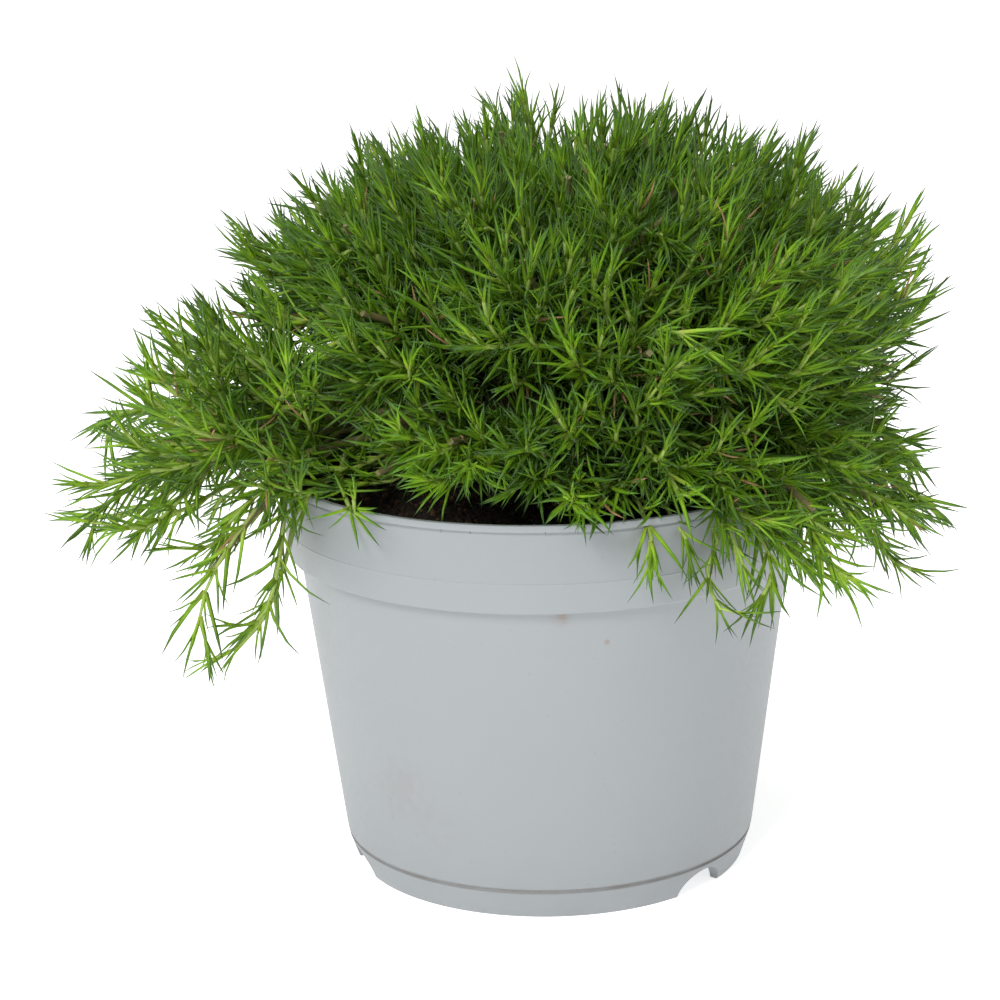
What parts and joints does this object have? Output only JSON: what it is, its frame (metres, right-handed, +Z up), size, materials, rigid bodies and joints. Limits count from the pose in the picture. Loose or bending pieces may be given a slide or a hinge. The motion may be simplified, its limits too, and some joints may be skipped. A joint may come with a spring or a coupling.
{
  "type": "potted pearlwort",
  "caption": "Dense cushion of needle-leaved green shoots that spills over the rim of a round tapered nursery pot.",
  "frame": {"origin": "middle of the whole plant's footprint, on the surface that the pot stands on; the pot's axis is 7 mm to the right of it and 15 mm in front of it", "axes": "+Z up, -Y towards the viewer of the picture, +X to the viewer's right"},
  "size_m": [0.2026, 0.1732, 0.1745],
  "materials": {
    "pot_plastic": "pale blue-grey moulded plastic, satin, with traces of soil",
    "peat": "moist dark peat, crumbly and matt",
    "root": "woody stem base, dull brown",
    "foliage": "fresh green leaves, slightly waxy"
  },
  "bodies": {
    "root": {"pot": "pot_plastic", "soil": "peat", "rootstock": "root", "top_spray_01": "foliage", "top_spray_02": "foliage", "top_spray_03": "foliage", "top_spray_04": "foliage", "top_spray_05": "foliage", "top_spray_06": "foliage", "top_spray_07": "foliage", "top_spray_08": "foliage", "top_spray_09": "foliage", "top_spray_10": "foliage", "top_spray_11": "foliage", "top_spray_12": "foliage", "top_spray_13": "foliage", "top_spray_14": "foliage", "top_spray_15": "foliage", "top_spray_16": "foliage", "top_spray_17": "foliage", "top_spray_18": "foliage", "top_spray_19": "foliage", "top_spray_20": "foliage", "top_spray_21": "foliage", "top_spray_22": "foliage", "top_spray_23": "foliage", "top_spray_24": "foliage", "top_spray_25": "foliage", "rim_spray_01": "foliage", "rim_spray_02": "foliage", "rim_spray_03": "foliage", "rim_spray_04": "foliage", "rim_spray_05": "foliage", "rim_spray_06": "foliage", "rim_spray_07": "foliage", "rim_spray_08": "foliage", "rim_spray_09": "foliage", "rim_spray_10": "foliage", "rim_spray_11": "foliage", "rim_spray_12": "foliage", "rim_spray_13": "foliage", "rim_spray_14": "foliage", "rim_spray_15": "foliage", "rim_spray_16": "foliage", "rim_spray_17": "foliage", "rim_spray_18": "foliage", "rim_spray_19": "foliage", "rim_spray_20": "foliage"}
  },
  "joints": []
}
